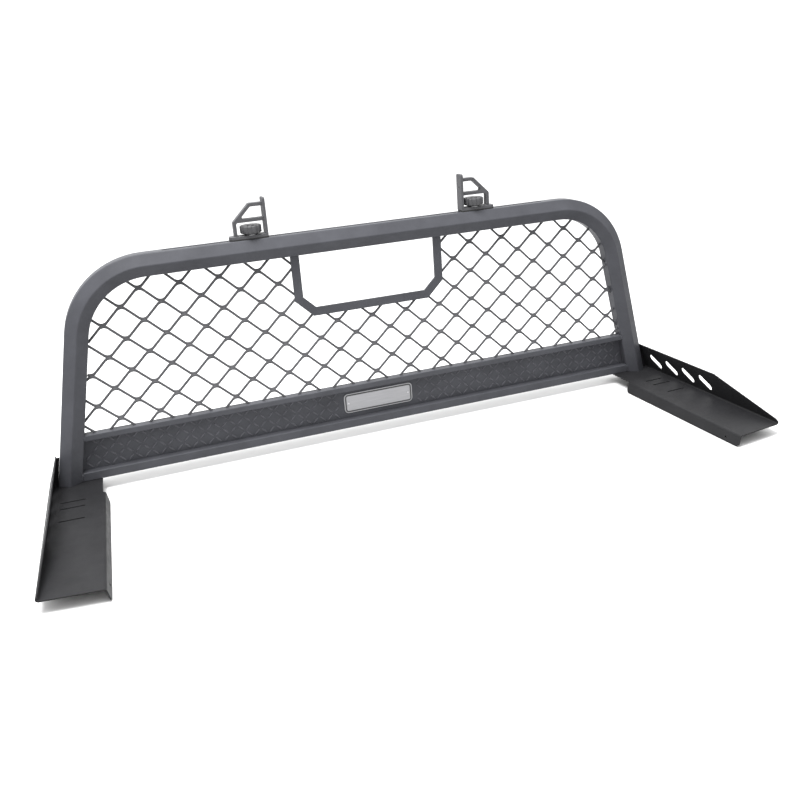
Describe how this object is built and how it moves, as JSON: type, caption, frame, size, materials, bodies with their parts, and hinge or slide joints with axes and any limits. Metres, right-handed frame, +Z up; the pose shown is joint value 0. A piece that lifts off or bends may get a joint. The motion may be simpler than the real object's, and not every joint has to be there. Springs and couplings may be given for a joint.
{
  "type": "headache rack",
  "caption": "Pickup headache rack: hexagonal tube hoop with expanded metal mesh, window frame, tread plate kick panel, sliding load stops and folded bed rail brackets.",
  "frame": {"origin": "centre of the footprint at the level of the lowest edge, the bottom of the flanges that hang inside the bed", "axes": "+X across the truck, +Y toward the cab, +Z up"},
  "size_m": [1.8442, 0.6134, 0.6956],
  "materials": {
    "hoop_coat": "textured satin powder coat, charcoal",
    "panel_coat": "textured satin powder coat, charcoal",
    "mesh_coat": "satin powder coat, black",
    "bracket_coat": "textured satin powder coat, black",
    "stop_coat": "satin powder coat over a casting",
    "track_metal": "mill finish extrusion",
    "badge_face": "blank satin plate",
    "rivet_metal": "satin",
    "fastener_steel": "zinc plated",
    "pad_rubber": "matte EPDM",
    "knob_plastic": "black glass-filled nylon",
    "insert_brass": "machined"
  },
  "bodies": {
    "rack": {"hoop_tube": "hoop_coat", "stop_track": "track_metal", "left_foot_block": "fastener_steel", "right_foot_block": "fastener_steel", "left_foot_screws": "fastener_steel", "right_foot_screws": "fastener_steel", "mesh_left": "mesh_coat", "mesh_center": "mesh_coat", "mesh_right": "mesh_coat", "window_frame": "panel_coat", "kick_rail_lower": "panel_coat", "kick_rail_upper": "panel_coat", "tread_plate": "panel_coat", "badge_plate": "badge_face", "badge_rivets": "rivet_metal", "left_rail_bracket": "bracket_coat", "right_rail_bracket": "bracket_coat", "left_rail_pads": "pad_rubber", "right_rail_pads": "pad_rubber"},
    "left_stop": {"left_load_stop": "stop_coat", "left_stop_pad": "pad_rubber", "left_tee_bolt": "fastener_steel"},
    "left_clamp": {"left_lock_washer": "fastener_steel"},
    "left_handwheel": {"left_knob": "knob_plastic", "left_knob_insert": "insert_brass"},
    "right_stop": {"right_load_stop": "stop_coat", "right_stop_pad": "pad_rubber", "right_tee_bolt": "fastener_steel"},
    "right_clamp": {"right_lock_washer": "fastener_steel"},
    "right_handwheel": {"right_knob": "knob_plastic", "right_knob_insert": "insert_brass"}
  },
  "joints": [
    {"name": "left_stop_slide", "type": "slide", "parent": "rack", "child": "left_stop", "axis": [1, 0, 0], "range_m": [-0.21, 0.24]},
    {"name": "left_knob_lift", "type": "slide", "parent": "left_stop", "child": "left_clamp", "axis": [0, 0, 1], "range_m": [0, 0.00375]},
    {"name": "left_knob_turn", "type": "hinge", "parent": "left_clamp", "child": "left_handwheel", "pos_m": [-0.3035, 0.26616, 0.615], "axis": [0, 0, 1], "range_deg": [0, 1080.5]},
    {"name": "right_stop_slide", "type": "slide", "parent": "rack", "child": "right_stop", "axis": [1, 0, 0], "range_m": [-0.254, 0.196]},
    {"name": "right_knob_lift", "type": "slide", "parent": "right_stop", "child": "right_clamp", "axis": [0, 0, 1], "range_m": [0, 0.00375]},
    {"name": "right_knob_turn", "type": "hinge", "parent": "right_clamp", "child": "right_handwheel", "pos_m": [0.3175, 0.26616, 0.615], "axis": [0, 0, 1], "range_deg": [0, 1080.5]}
  ],
  "couplings": [
    {"joint": "left_knob_turn", "follows": "left_knob_lift", "rad_per_m": 5026.5},
    {"joint": "right_knob_turn", "follows": "right_knob_lift", "rad_per_m": 5026.5}
  ]
}
